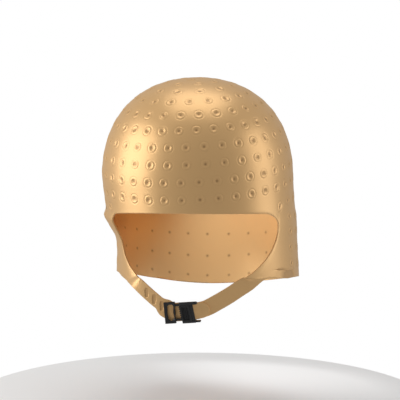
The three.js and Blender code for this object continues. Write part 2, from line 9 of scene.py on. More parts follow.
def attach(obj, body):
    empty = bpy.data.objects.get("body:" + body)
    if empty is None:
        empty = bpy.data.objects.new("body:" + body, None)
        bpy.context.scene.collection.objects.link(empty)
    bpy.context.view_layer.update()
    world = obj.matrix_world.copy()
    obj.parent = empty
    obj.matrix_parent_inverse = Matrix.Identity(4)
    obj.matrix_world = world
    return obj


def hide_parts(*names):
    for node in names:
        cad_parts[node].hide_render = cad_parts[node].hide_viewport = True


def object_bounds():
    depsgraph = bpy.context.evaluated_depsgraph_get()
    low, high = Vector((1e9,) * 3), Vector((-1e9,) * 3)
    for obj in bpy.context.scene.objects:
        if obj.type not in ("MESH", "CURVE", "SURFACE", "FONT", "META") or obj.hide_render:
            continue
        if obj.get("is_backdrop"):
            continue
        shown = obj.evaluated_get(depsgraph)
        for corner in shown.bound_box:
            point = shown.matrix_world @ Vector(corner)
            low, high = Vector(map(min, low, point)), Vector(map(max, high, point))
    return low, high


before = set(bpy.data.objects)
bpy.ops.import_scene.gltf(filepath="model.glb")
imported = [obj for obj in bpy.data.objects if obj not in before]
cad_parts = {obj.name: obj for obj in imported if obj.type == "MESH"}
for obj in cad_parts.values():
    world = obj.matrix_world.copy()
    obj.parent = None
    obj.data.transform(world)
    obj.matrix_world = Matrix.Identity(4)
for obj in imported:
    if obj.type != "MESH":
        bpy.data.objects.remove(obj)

low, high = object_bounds()
sizes = {"cad": [list(low), list(high)]}

# Sizes in millimetres and degrees
TO_METRES = (0.001, 0.001, 0.001)
WALL = 1.5
RIM_ROUND = 0.35
JOIN_REACH = 0.15  # how near the corners of two strips lie that are joined
CROWN_HEIGHT = 90
HALF_WIDTH = 87.7
FRONT_DEPTH, REAR_DEPTH = 91, 93
FULLNESS = 0.03
SKIRT_DROP, NAPE_DROP = 90, 115
BROW_DROP = 25
ROW_STEP, ROW_LEAN, ROW_ROLL, ROW_GAP, POLE_SHARE = 9.7, 5.5, 2.6, 0.16, 0.58
FIRST_EDGE = 55.5
EDGE_RISE = 0.083
NAPE_EASE = 0.45
NAPE_TURN = (-0.9, 0.2)  # cosines of the angles between which the left side's width sets in
NAPE_START = 62
CORNERS = {"right": (46, 2.5, 10.5), "left": (54, 4.9, 4)}  # start, droop of the brow, drop
LEFT_BULGE = [0, 0.03, 0.06, 0.03, 0]
STRAP_WIDTH, LEFT_STRAP_WIDTH, STRAP_REACH, STRAP_SPAN = 14.2, 11.4, 84, 105
SLOT_WIDTH, SLOT_HEIGHT, SLOT_PITCH, SLOTS = 3.9, 8.6, 8.8, 3
PEG_GAP = 0.48  # pitches that the first free slot is further from the peg than the next is from it
GRIP_WIDTH, GRIP_HEIGHT, GRIP_DEPTH, GRIP_ANGLE = 22, 8.5, 0.5, 68
BUCKLE_DROP, BUCKLE_SIDE, BUCKLE_TURN = 22.2, 5, 4.5
PEG_PLACE, TAIL_LENGTH, PIN_PLACE, PIN_RADIUS, CLEARANCE = -6.4, 5.6, 8.3, 0.9, 0.3
LAP_LENGTH = 16
SLOT_RINGS = [(0.4, 1), (0, 1), (-0.2, -0.55), (-0.5, -0.55)]  # past its outline, share of the wall
BUCKLE_END_WIDTH = 16.5
FRAME_LENGTH, FRAME_LEAN, FRAME_THICKNESS, BAR_WIDTH = 10, 0.3, 2.6, 2
ARM_REACH, ARM_HEIGHT = 7, 1.9
BUCKLE_HEIGHT, CLASP_PLACE, CLASP_LENGTH, CLASP_LEAN, PLATE_THICKNESS = 19, -0.5, 11.7, 2.4, 1.8
LEVER_THICKNESS, LEVER_LENGTH, LIP_LENGTH, LIP_HEIGHT = 2.8, 16.6, 6, 1.2

# Rows of the crown from its top down: how many marks, and their turn in shares of a pitch
CROWN_ROWS = [(3, 0), (8, 0.41), (12, 0.53), (19, 0.12), (25, 0.7)]
CROWN_ROWS += [(30, 0.62), (32, 0.03), (32, 0.03), (35, 0.7), (35, 0.7)]

# Lines of the skirt from the brow to the hem: shares of its drops, and angles of the opening's edge
SKIRT_LINES = {
    "edge": [0, 0.23, 0.44, 0.63, 0.83, 1],
    "side": [0.3, 0.44, 0.595, 0.755, 0.905, 0.985],
    "left side": [0.3, 0.44, 0.595, 0.755, 0.905, 0.952],
    "nape": [0.285, 0.487, 0.668, 0.857, 0.99, 1],
    "right": [58.5, 57, 53.5, 48.5, 41, 33],
    "left": [57, 58.5, 58.5, 56, 49, 40],
}

# Widths of the two sides, as shares of the half width, by shares of the way down
WIDTHS = {
    "down": [0, 0.2, 0.33, 0.4, 0.47, 0.6, 0.73, 1, 1.28],
    "left": [1, 0.975, 0.962, 0.98, 0.94, 0.862, 0.843, 0.85, 0.86],
    "right": [1, 1.012, 1.024, 1.036, 1.042, 1.046, 1.052, 1.068, 1.075],
}
COLUMN_EDGES = [66.5, 78, 90, 103.5, 118, 133, 146.5, 160, 173]
BORDER_SHARES = [0, 0.22, 0.45, 0.73, 1]

# Places of the straps seen from the front: shares of the half width and of the buckle's drop
RIGHT_STRAP = [(0.54, 0.045), (0.415, 0.36), (0.305, 0.61), (0.183, 0.86), (0.09, 0.95)]
LEFT_STRAP = [(-0.536, -0.06), (-0.417, 0.315), (-0.3, 0.67), (-0.2, 0.94)]

# Rings of one mark, from its foot to its pit: radius and height
RINGS = [(5.6, 0), (4.9, -0.02), (4.45, -0.2), (3.75, 0.2), (2.7, 0.16), (2.15, -0.04), (1.2, -0.3)]
PIT = -0.5
INNER_PIT = 0.6

# How much painted shade darkens the dents, as shares of the way to the dark gold
RING_PAINTED_SHADE, PIT_PAINTED_SHADE, GRIP_PAINTED_SHADE, SLOT_PAINTED_SHADE = 0.25, 0.8, 0.25, 0.18

sin = lambda a: math.sin(math.radians(a))
cos = lambda a: math.cos(math.radians(a))
mix = lambda a, b, t: a + (b - a) * t
PER_DEGREE = math.radians(CROWN_HEIGHT)
fall_of = lambda drop: 90 + drop / PER_DEGREE


def ease(x, low, high):
    t = min(max((x - low) / (high - low), 0), 1)
    return t * t * (3 - 2 * t)


def smooth(places, values, x):
    """A smooth curve through values at places."""
    last = len(places) - 1
    i = 0
    while i < last - 1 and x > places[i + 1]:
        i += 1
    a, b = max(i - 1, 0), min(i + 2, last)
    step = places[i + 1] - places[i]
    t = (x - places[i]) / step
    slope = lambda j, k: (values[k] - values[j]) / (places[k] - places[j]) * step
    m, n = slope(a, i + 1), slope(i, b)
    return (
        (2 * t**3 - 3 * t**2 + 1) * values[i]
        + (t**3 - 2 * t**2 + t) * m
        + (3 * t**2 - 2 * t**3) * values[i + 1]
        + (t**3 - t**2) * n
    )


def cap_surface(angle, fall):
    """The outer skin at an angle from the front and a fall from the top, 90 at the widest ring."""
    p = min(fall, 90)
    drop = max((fall - 90) * PER_DEGREE, 0)
    full = 1 + FULLNESS * sin(2 * p) ** 2
    down = drop / SKIRT_DROP
    if sin(angle) > 0:
        side = smooth(WIDTHS["down"], WIDTHS["right"], down)
    else:
        width = smooth(WIDTHS["down"], WIDTHS["left"], down)
        side = mix(1, width, mix(NAPE_EASE, 1, ease(cos(angle), *NAPE_TURN)))
    depth = FRONT_DEPTH if cos(angle) > 0 else REAR_DEPTH
    out = sin(p) * full
    return Vector(
        (
            side * HALF_WIDTH * sin(angle) * out,
            -depth * cos(angle) * out,
            WALL - CROWN_HEIGHT * (1 - cos(p) * full) - drop,
        )
    )


def cap_normal(angle, fall):
    if fall < 0.5:
        return Vector((0, 0, 1))
    across = cap_surface(angle + 0.5, fall) - cap_surface(angle - 0.5, fall)
    down = cap_surface(angle, fall + 0.25) - cap_surface(angle, fall - 0.25)
    return down.cross(across).normalized()


def direction(angle, from_pole):
    return Vector((sin(from_pole) * sin(angle), -sin(from_pole) * cos(angle), cos(from_pole)))


def row_place(angle, from_pole):
    """Angle and fall on the cap of a direction round the leaning pole of the rows."""
    x, y, z = direction(angle, from_pole)
    y, z = y * cos(ROW_LEAN) - z * sin(ROW_LEAN), y * sin(ROW_LEAN) + z * cos(ROW_LEAN)
    x, z = x * cos(ROW_ROLL) - z * sin(ROW_ROLL), x * sin(ROW_ROLL) + z * cos(ROW_ROLL)
    found = math.degrees(math.atan2(x, -y))
    found += 360 * round((angle - found) / 360)
    return found, math.degrees(math.acos(min(max(z, -1), 1)))


def shifted(angle, from_pole, right, down):
    """The direction that lies right and down of another by two lengths."""
    v = direction(angle, from_pole)
    east = Vector((cos(angle), sin(angle), 0))
    length = math.hypot(right, down)
    if length < 1e-9:
        return angle, from_pole
    south = Vector((cos(from_pole) * sin(angle), -cos(from_pole) * cos(angle), -sin(from_pole)))
    turn = length / CROWN_HEIGHT
    v = v * math.cos(turn) + (east * right + south * down) * (math.sin(turn) / length)
    found = math.degrees(math.atan2(v.x, -v.y))
    found += 360 * round((angle - found) / 360)
    return found, math.degrees(math.acos(min(max(v.z, -1), 1)))


# The sheet is modelled flat, strip by strip, and each strip is then wrapped on to the cap
bm = bmesh.new()
INNER = bm.verts.layers.float_vector.new("inner")
DENT = bm.verts.layers.float.new("dent")
LINE = bm.verts.layers.int.new("line")
PAINTED_SHADE = bm.verts.layers.float.new("painted_shade")


def flat_grid(columns, rows):
    """A flat grid of unit cells, x to the right and y down from the origin."""
    made = bmesh.ops.create_grid(bm, x_segments=columns, y_segments=rows, size=1)["verts"]
    for v in made:
        v.co = (round((v.co.x + 1) / 2 * columns, 4), round((1 - v.co.y) / 2 * rows, 4), 0)
    return made


faces_of = lambda verts: list({f for v in verts for f in v.link_faces})
edges_of = lambda verts: list({e for v in verts for e in v.link_edges})
verts_of = lambda faces: list({v for f in faces for v in f.verts})


def grow(seed):
    """All corners that edges lead to from a few of them."""
    reach, grown = set(seed), set(seed)
    while grown:
        grown = {w for v in grown for e in v.link_edges for w in e.verts} - reach
        reach |= grown
    return reach


def cut_sides(verts, cuts=3):
    """Gives the sides of flat cells more corners."""
    faces = faces_of(verts)
    bmesh.ops.subdivide_edges(bm, edges=edges_of(verts), cuts=cuts, use_grid_fill=False)
    return faces


def press_marks(faces, lay):
    """Insets each cell ring by ring. lay(middle, right, down) gives the place beside a middle."""
    middles = {}
    for f in faces:
        xs, ys = [v.co.x for v in f.verts], [v.co.y for v in f.verts]
        middles[f] = ((min(xs) + max(xs)) / 2, (min(ys) + max(ys)) / 2)
    for radius, height in RINGS:
        bmesh.ops.inset_individual(bm, faces=faces, thickness=0.01)
        for f in faces:
            x, y = middles[f]
            turns = {v: beside(v, x, y, lay) for v in f.verts}
            for v, turn in turns.items():
                at = lay((x, y), radius * math.cos(turn), radius * math.sin(turn))
                v.co = (at[0], at[1], height)
    # Painted shade: the edge and the middle of each pit are coloured darker
    for v in verts_of(faces):
        v[PAINTED_SHADE] = RING_PAINTED_SHADE
    made = bmesh.ops.poke(bm, faces=faces)
    for v in made["verts"]:
        v.co.z = PIT
        v[DENT] = INNER_PIT
        v[PAINTED_SHADE] = PIT_PAINTED_SHADE


def beside(v, x, y, lay):
    """Which way a corner lies from the middle of its cell."""
    right = lay((x, y), 1, 0)
    down = lay((x, y), 0, 1)
    a, b = right[0] - x, right[1] - y
    c, d = down[0] - x, down[1] - y
    dx, dy = v.co.x - x, v.co.y - y
    size = a * d - b * c
    return math.atan2((a * dy - b * dx) / size, (d * dx - c * dy) / size)


def wrap(verts, place):
    """Takes flat corners to the outer skin, and notes where the inner skin lies."""
    for v in verts:
        angle, fall = place(v.co.x, v.co.y)
        point, normal = cap_surface(angle, fall), cap_normal(angle, fall)
        v[INNER] = point + normal * (v[DENT] - WALL)
        v.co = point + normal * v.co.z


# Crown
EDGE = 1e-4
for k, (marks, turn) in enumerate(CROWN_ROWS):
    middle = ROW_STEP * (k + POLE_SHARE)
    height = ROW_STEP * (1 - ROW_GAP)
    pitch = 360 / marks
    first = round(-FIRST_EDGE / pitch) + turn - 0.5
    row_angle = lambda x: pitch * (first + x)
    row_fall = lambda y: middle - height / 2 + height * y

    def lay(at, right, down):
        angle, from_pole = shifted(row_angle(at[0]), row_fall(at[1]), right, down)
        return angle / pitch - first, (from_pole - middle) / height + 0.5

    faces = cut_sides(flat_grid(marks, 1))
    strip = verts_of(faces)
    for v in strip:
        v[LINE] = 2 * k + 1 if v.co.y < EDGE else 2 * k + 2 if v.co.y > 1 - EDGE else 0
    press_marks(faces, lay)
    wrap(grow(strip), lambda x, y: row_place(row_angle(x), row_fall(y)))

# Brow, from the last row of marks to the edge of the face opening
UNDER = ROW_STEP * (len(CROWN_ROWS) - 0.5 + POLE_SHARE)
BROW_COLUMNS, BROW_CORNER, BROW_LINES = 40, 6, 4
TOP_LINE = 2 * len(CROWN_ROWS) + 1


def brow_place(x):
    """Angle and drop of the brow edge at a column counted from its left end."""
    i = abs(x - BROW_COLUMNS / 2)
    sign, side = (1, "right") if x >= BROW_COLUMNS / 2 else (-1, "left")
    start, droop, corner = CORNERS[side]
    straight = BROW_COLUMNS / 2 - BROW_CORNER
    if i <= straight:
        return sign * start * i / straight, BROW_DROP + droop * (i / straight) ** 2
    turn = (i - straight) / BROW_CORNER * 90
    drop = BROW_DROP + droop + corner * (1 - cos(turn))
    return sign * mix(start, SKIRT_LINES[side][0], sin(turn)), drop


def brow(x, y):
    y = y / BROW_LINES
    upper = row_place(mix(-FIRST_EDGE, FIRST_EDGE, x / BROW_COLUMNS), UNDER)
    angle, drop = brow_place(x)
    return mix(upper[0], angle, y), mix(upper[1], fall_of(drop), y)


strip = flat_grid(BROW_COLUMNS, BROW_LINES)
for v in strip:
    v[LINE] = TOP_LINE if v.co.y < EDGE else 0
wrap(strip, brow)

# Skirt: x counts columns from the right edge of the opening round the nape, y counts lines
CELLS = 2 * len(COLUMN_EDGES) - 1
PER_CELL, BORDER = 4, 4  # columns to a cell of marks, and plain columns at each end
COLUMNS = PER_CELL * CELLS + 2 * BORDER
HEM_TOP, HEM_EDGE = 5, 6


def column_angle(x, edge_right, edge_left):
    if x > COLUMNS / 2:
        return 360 - column_angle(COLUMNS - x, edge_left, edge_right)
    if x <= BORDER:
        return mix(edge_right, COLUMN_EDGES[0], border_share(x))
    edges = COLUMN_EDGES + [360 - COLUMN_EDGES[-1]]
    x = (x - BORDER) / PER_CELL
    i = min(int(x), len(edges) - 2)
    return mix(edges[i], edges[i + 1], x - i)


def border_share(x):
    """How far a column is across the plain border, from 0 at the opening to 1."""
    x = min(x, COLUMNS - x, BORDER)
    i = min(int(x), BORDER - 1)
    return mix(BORDER_SHARES[i], BORDER_SHARES[i + 1], x - i)


def skirt(x, y):
    """Angle and fall of a place on the skirt."""
    if y < 1:
        angle = column_angle(x, FIRST_EDGE, FIRST_EDGE)
        upper, lower = row_place(angle, UNDER), skirt(x, 1)
        return mix(upper[0], lower[0], y), mix(upper[1], lower[1], y)
    row = {name: smooth(range(6), values, y - 1) for name, values in SKIRT_LINES.items()}
    angle = column_angle(x, row["right"], row["left"])
    signed = angle - 360 if angle > 180 else angle
    nape = ease(abs(signed), NAPE_START, 180)
    side = "right" if x < COLUMNS / 2 else "left"
    beside_face = row["side" if side == "right" else "left side"] * SKIRT_DROP
    level = mix(beside_face, row["nape"] * NAPE_DROP, nape)
    edge = mix(BROW_DROP + sum(CORNERS[side][1:]), SKIRT_DROP * (1 - EDGE_RISE), row["edge"])
    sag = 0
    if side == "left" and y > HEM_TOP:
        column = min(COLUMNS - x, BORDER - 0.001)
        bulge = mix(LEFT_BULGE[int(column)], LEFT_BULGE[int(column) + 1], column % 1)
        sag = bulge * SKIRT_DROP * (y - HEM_TOP)
    return angle, fall_of(mix(edge, level, border_share(x)) + sag)


def lay_skirt(at, right, down):
    """The place on the skirt that lies right and down of another by two lengths."""
    angle, fall = skirt(*at)
    wide = cap_surface(angle + 1, fall) - cap_surface(angle - 1, fall)
    x_step = (skirt(at[0] + 0.2, at[1])[0] - skirt(at[0] - 0.2, at[1])[0]) / 0.4 * wide.length / 2
    y_step = (skirt(at[0], at[1] + 0.1)[1] - skirt(at[0], at[1] - 0.1)[1]) / 0.2 * PER_DEGREE
    return at[0] + right / x_step, at[1] + down / y_step


def skirt_cells(x_start, count, y_start):
    faces = cut_sides(flat_grid(count, 1))
    corners = verts_of(faces)
    for v in corners:
        v[LINE] = TOP_LINE if y_start == 0 and v.co.y < EDGE else 0
        v.co = (x_start + PER_CELL * v.co.x, y_start + v.co.y, 0)
    press_marks(faces, lay_skirt)
    wrap(grow(corners), skirt)


def skirt_plain(x_start, columns, y_start, rows=4):
    verts = flat_grid(columns, rows)
    for v in verts:
        v.co = (x_start + v.co.x, y_start + v.co.y / rows, 0)
    return verts


skirt_cells(0, CELLS + 2, 0)
for line in range(1, HEM_TOP):
    skirt_cells(BORDER, CELLS, line)
    wrap(skirt_plain(0, BORDER, line), skirt)
    wrap(skirt_plain(COLUMNS - BORDER, BORDER, line), skirt)


def grip_reach(x, y):
    """How far a place of the hem is from the middle of the half-round grip, 1 at its edge."""
    angle, fall = skirt(x, y)
    bottom = skirt(x, HEM_EDGE)[1]
    across = math.radians(angle - GRIP_ANGLE) * HALF_WIDTH / (GRIP_WIDTH / 2)
    return math.hypot(across, (bottom - fall) * PER_DEGREE / GRIP_HEIGHT)


# Hem, with finer faces where the grip is, and painted shade in the grip's recess
HEM_LINE = TOP_LINE + 1
near_grip = lambda v: 1.9 < v.co.x < 8.1
hem = skirt_plain(0, COLUMNS, HEM_TOP)
for v in hem:
    v[LINE] = HEM_LINE
patch = [f for f in faces_of(hem) if all(near_grip(v) for v in f.verts)]
patch_edges = list({e for f in patch for e in f.edges if all(g in patch for g in e.link_faces)})
bmesh.ops.subdivide_edges(bm, edges=patch_edges, cuts=3, use_grid_fill=True)
hem = grow([v for v in bm.verts if v[LINE] == HEM_LINE])
# Painted shade: the grip's recess is coloured darker, fading out at its edge
for v in hem:
    if near_grip(v):
        within = 1 - ease(grip_reach(v.co.x, v.co.y), 0.93, 1.03)
        v.co.z = -GRIP_DEPTH * within
        v[PAINTED_SHADE] = GRIP_PAINTED_SHADE * within
wrap(hem, skirt)


# Straps, modelled flat as a length along and a distance across
HEM = WALL - CROWN_HEIGHT - SKIRT_DROP
BUCKLE = Vector((-BUCKLE_SIDE, -STRAP_REACH, HEM - BUCKLE_DROP))


def along_buckle(place):
    return Vector((BUCKLE.x + place * cos(BUCKLE_TURN), 0, BUCKLE.z + place * sin(BUCKLE_TURN)))


def oval_depth(x):
    return -STRAP_REACH * math.sqrt(1 - (x / STRAP_SPAN) ** 2)


def oval_normal(x):
    return Vector((x / STRAP_SPAN**2, oval_depth(x) / STRAP_REACH**2, 0)).normalized()


class Path:
    """A smooth curve through points in the XZ plane, with a place and a slope at each length."""

    def __init__(self, points):
        ghost = lambda a, b: a * 2 - b
        p = [ghost(points[0], points[1]), *points, ghost(points[-1], points[-2])]
        self.line = [points[0]]
        for i in range(len(points) - 1):
            a, b, c, d = p[i : i + 4]
            t0 = 0
            t1 = t0 + (b - a).length ** 0.5
            t2 = t1 + (c - b).length ** 0.5
            t3 = t2 + (d - c).length ** 0.5
            for j in range(1, 41):
                t = mix(t1, t2, j / 40)
                a1 = a.lerp(b, (t - t0) / (t1 - t0))
                a2 = b.lerp(c, (t - t1) / (t2 - t1))
                a3 = c.lerp(d, (t - t2) / (t3 - t2))
                b1 = a1.lerp(a2, (t - t0) / (t2 - t0))
                b2 = a2.lerp(a3, (t - t1) / (t3 - t1))
                self.line.append(b1.lerp(b2, (t - t1) / (t2 - t1)))
        self.at = [0]
        for a, b in zip(self.line, self.line[1:]):
            self.at.append(self.at[-1] + (b - a).length)
        self.length = self.at[-1]

    def point(self, s):
        s = min(max(s, 0), self.length)
        i = 0
        while i < len(self.at) - 2 and s > self.at[i + 1]:
            i += 1
        return self.line[i].lerp(self.line[i + 1], (s - self.at[i]) / (self.at[i + 1] - self.at[i]))

    def slope(self, s):
        s = min(max(s, 1), self.length - 1)
        return (self.point(s + 1) - self.point(s - 1)).normalized()


def strap_path(table, root, *ends):
    points = [Vector((out * HALF_WIDTH, 0, HEM - down * BUCKLE_DROP)) for out, down in table]
    return Path([Vector((root.x, 0, root.z)), *points, *[along_buckle(place) for place in ends]])


def strap_point(path, s, across, side, lift=0):
    """Outer and inner skin of a strap. lift holds a lap clear of the strap that it lies on."""
    at, slope = path.point(s), path.slope(s)
    normal = oval_normal(at.x)
    recede = oval_depth(at.x + slope.x / 2) - oval_depth(at.x - slope.x / 2)
    run = Vector((slope.x, recede, slope.z)).normalized()
    over = (normal.cross(run) * side).normalized()
    point = Vector((at.x, oval_depth(at.x), at.z)) + normal * lift + over * across
    return point, point + normal * (WALL if lift else -WALL)


def root_points(edge):
    """The corners of the hem that a strap grows from, inner edge first, with their ways into it."""
    found = []
    for column in (0, 1, 2):
        x, beyond = column, column + 1
        if edge == "left":
            x, beyond = COLUMNS - x, COLUMNS - beyond
        point, normal = cap_surface(*skirt(x, HEM_EDGE)), cap_normal(*skirt(x, HEM_EDGE))
        down = (point - cap_surface(*skirt(x, HEM_EDGE - 0.2))).normalized()
        along = (point - cap_surface(*skirt(beyond, HEM_EDGE))).normalized()
        found.append((point, point - normal * WALL, down.lerp(along, column / 2).normalized()))
    return found


def bend(a, way_a, b, way_b, t):
    """A place on the curve from a to b that sets out along way_a and arrives along way_b."""
    length = (b - a).length
    start, end = 2 * t**3 - 3 * t**2 + 1, 3 * t**2 - 2 * t**3
    leave, arrive = length * (t**3 - 2 * t**2 + t), length * (t**3 - t**2)
    return a * start + way_a * leave + b * end + way_b * arrive


def lay_strap(verts, path, root, side, half_at):
    """Wraps flat strap corners, x the length along and y the share across from -1 to 1."""
    start = path.length / 6  # up to here the strap grows out of the hem
    for v in verts:
        s, share = v.co.x, v.co.y
        if s < start:
            i = 0 if share < 0 else 1
            ends = [a.lerp(b, share + 1 - i) for a, b in zip(root[i], root[i + 1])]
            far = strap_point(path, start, share * half_at(start), side)
            next_on = strap_point(path, start + 0.5, share * half_at(start), side)[0]
            way = (next_on - far[0]).normalized()
            point = bend(ends[0], ends[2], far[0], way, s / start)
            skin = bend(ends[1], ends[2], far[1], way, s / start)
        else:
            point, skin = strap_point(path, s, share * half_at(s), side)
            if v.co.z < 0:
                point = point.lerp(skin, -v.co.z)
        v[INNER] = skin
        v.co = point


roots = {name: root_points(name) for name in ("right", "left")}
right_path = strap_path(RIGHT_STRAP, roots["right"][1][0], PIN_PLACE)
left_path = strap_path(LEFT_STRAP, roots["left"][1][0], PEG_PLACE, PEG_PLACE + TAIL_LENGTH)

# Right strap, its fold round the pin and its lap, each with its number of pieces
RIGHT_RUN, FOLD, LAP = 48, 12, 22
strip = flat_grid(RIGHT_RUN, 2)
for v in strip:
    v.co = (v.co.x / RIGHT_RUN * right_path.length, v.co.y - 1, 0)
lay_strap(strip, right_path, roots["right"], 1, lambda s: STRAP_WIDTH / 2)

strip = flat_grid(FOLD + LAP, 2)
turn_radius = PIN_RADIUS + CLEARANCE
tip = right_path.point(right_path.length)
fold_middle = Vector((tip.x, oval_depth(tip.x) - turn_radius, tip.z))
front = Vector((0, -1, 0))
along = Vector((-cos(BUCKLE_TURN), 0, -sin(BUCKLE_TURN)))
half = STRAP_WIDTH / 2
for v in strip:
    i, share = v.co.x, v.co.y - 1
    if i == 0:
        point, skin = strap_point(right_path, right_path.length, share * half, 1)
    elif i <= FOLD:
        a = i / FOLD * 180
        out = front * -cos(a) + along * sin(a)
        run = along * cos(a) + front * sin(a)
        middle = fold_middle + out * turn_radius
        over = (-out).cross(run).normalized()
        point = middle + over * share * half
        skin = point + out * WALL
    else:
        way = LAP_LENGTH * math.sin((i - FOLD) / LAP * math.pi / 2)
        lift = mix(2 * turn_radius, CLEARANCE, ease(way, 0, LAP_LENGTH * 0.6))
        round_off = max(0, way - LAP_LENGTH + half) / half
        width = half * max(math.sqrt(max(1 - round_off**2, 0)), 0.04)
        point, skin = strap_point(right_path, right_path.length - way, share * width, 1, lift)
    v[INNER] = skin
    v.co = point

# Left strap: plain, then the cells of its slots, with painted shade on their floors, then its end
peg_s = left_path.length
while left_path.point(peg_s).x > BUCKLE.x + PEG_PLACE:
    peg_s -= 0.02
slots = [peg_s - (i + PEG_GAP) * SLOT_PITCH for i in range(SLOTS, 0, -1)]
cell_half = 0.4 * SLOT_PITCH
cells = [(s - cell_half, s + cell_half) for s in slots]


def lean(s):
    """How far a cross line leans along the strap to stand upright, for each millimetre across."""
    slope = left_path.slope(s)
    first = cells[0][0]
    near = ease(s, first - 12, first) * (1 - ease(s, peg_s + 2, left_path.length))
    return -slope.z / slope.x * near


def left_half(s):
    """Half the width of the left strap, which is wider in the buckle."""
    return mix(LEFT_STRAP_WIDTH, BUCKLE_END_WIDTH, ease(s, peg_s - 17, peg_s - 9)) / 2


def lay_left(verts):
    for v in verts:
        if v.co.z == 0:
            v.co.x += lean(v.co.x) * v.co.y * LEFT_STRAP_WIDTH / 2
    lay_strap(verts, left_path, roots["left"], -1, left_half)


def plain_run(start, end, pieces):
    strip = flat_grid(pieces, 2)
    for v in strip:
        v.co = (mix(start, end, v.co.x / pieces), v.co.y - 1, 0)
    lay_left(strip)


plain_run(0, cells[0][0], 18)
for i, (start, end) in enumerate(cells):
    if i:
        plain_run(cells[i - 1][1], start, 2)
    strip = flat_grid(6, 2)
    for v in strip:
        v.co = (mix(start, end, v.co.x / 6), v.co.y - 1, 0)
    faces = bmesh.ops.dissolve_faces(bm, faces=faces_of(strip), use_verts=False)["region"]
    middle, half = (start + end) / 2, left_half((start + end) / 2)
    slope = left_path.slope(middle)
    corner = list(faces[0].verts)[:1]
    for step, (beyond, depth) in enumerate(SLOT_RINGS):
        bmesh.ops.inset_individual(bm, faces=faces, thickness=0.001)
        for v in faces[0].verts:
            s, w = v.co.x - middle, v.co.y * half
            if step == 0:
                turn = math.atan2(s * slope.z - w / slope.x, s * slope.x)
            else:
                turn = math.atan2(s * slope.z - w * slope.x, s * slope.x + w * slope.z)
            wide = abs(math.cos(turn) / (SLOT_WIDTH / 2 + beyond)) ** 5
            tall = abs(math.sin(turn) / (SLOT_HEIGHT / 2 + beyond)) ** 5
            x, z = (f(turn) * (wide + tall) ** -0.2 for f in (math.cos, math.sin))
            v.co = (middle + x * slope.x + z * slope.z, (x * slope.z - z * slope.x) / half, depth)
            # Painted shade: the floor of each slot is coloured darker
            v[PAINTED_SHADE] = SLOT_PAINTED_SHADE if depth < 0 else 0
    lay_left(grow(corner))
plain_run(cells[-1][1], left_path.length, 14)

# Join the strips
bmesh.ops.remove_doubles(bm, verts=bm.verts, dist=JOIN_REACH)


def loop_edges(line, keep=lambda v: True):
    on_line = lambda e: all(v[LINE] == line and keep(v) for v in e.verts)
    return [e for e in bm.edges if e.is_boundary and on_line(e)]


for k in range(len(CROWN_ROWS) - 1):
    bmesh.ops.bridge_loops(bm, edges=loop_edges(2 * k + 2) + loop_edges(2 * k + 3))
top = bmesh.ops.contextual_create(bm, geom=loop_edges(1))["faces"]
pole = bmesh.ops.poke(bm, faces=top)["verts"]
for v in pole:
    v.co = cap_surface(*row_place(0, 0))
    v[INNER] = v.co - cap_normal(*row_place(0, 0)) * WALL

side_of = lambda point: math.degrees(math.atan2(point.x, -point.y))
limit = lambda angle: side_of(cap_surface(*row_place(angle, UNDER)))
last = 2 * len(CROWN_ROWS)
is_front = lambda v: limit(-FIRST_EDGE - 1) < side_of(v.co) < limit(FIRST_EDGE + 1)
is_rear = lambda v: not limit(2 - FIRST_EDGE) < side_of(v.co) < limit(FIRST_EDGE - 2)
bmesh.ops.bridge_loops(bm, edges=loop_edges(last, is_front) + loop_edges(TOP_LINE, is_front))
bmesh.ops.bridge_loops(bm, edges=loop_edges(last, is_rear) + loop_edges(TOP_LINE, is_rear))

# Give the sheet its thickness
bmesh.ops.recalc_face_normals(bm, faces=bm.faces)
made = bmesh.ops.extrude_face_region(bm, geom=bm.faces[:])
inner = {g for g in made["geom"] if isinstance(g, bmesh.types.BMVert)}
for v in inner:
    v.co = v[INNER]
walls = [f for f in bm.faces if 0 < sum(v in inner for v in f.verts) < len(f.verts)]
rim = {e for f in walls for e in f.edges if (e.verts[0] in inner) == (e.verts[1] in inner)}
rim = {e for e in rim if e.calc_length() > RIM_ROUND}
bmesh.ops.bevel(
    bm, geom=list(rim), offset=RIM_ROUND, segments=2, profile=0.5, affect="EDGES", material=-1
)
bmesh.ops.recalc_face_normals(bm, faces=bm.faces)
bmesh.ops.scale(bm, verts=bm.verts, vec=TO_METRES)

mesh = bpy.data.meshes.new("cap_skin")
bm.to_mesh(mesh)
bm.free()
cap = bpy.data.objects.new("cap_skin", mesh)
bpy.context.collection.objects.link(cap)
for p in mesh.polygons:
    p.use_smooth = True
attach(cap, "root")
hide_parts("cap")


def material(name, colour, roughness, **more):
    made = bpy.data.materials.new(name)
    made.use_nodes = True
    shader = made.node_tree.nodes["Principled BSDF"]
    shader.inputs["Base Color"].default_value = (*colour, 1)
    shader.inputs["Roughness"].default_value = roughness
    for key, value in more.items():
        shader.inputs[key.replace("_", " ")].default_value = value
    return made, made.node_tree, shader


def noise_bump(tree, shader, scale, strength, distance):
    """Fine unevenness, worked out from the object's own coordinates."""
    nodes, links = tree.nodes, tree.links
    place = nodes.new("ShaderNodeTexCoord")
    noise = nodes.new("ShaderNodeTexNoise")
    noise.inputs["Scale"].default_value = scale
    noise.inputs["Detail"].default_value = 3
    bump = nodes.new("ShaderNodeBump")
    bump.inputs["Strength"].default_value = strength
    bump.inputs["Distance"].default_value = distance
    links.new(place.outputs["Object"], noise.inputs["Vector"])
    links.new(noise.outputs["Fac"], bump.inputs["Height"])
    links.new(bump.outputs["Normal"], shader.inputs["Normal"])
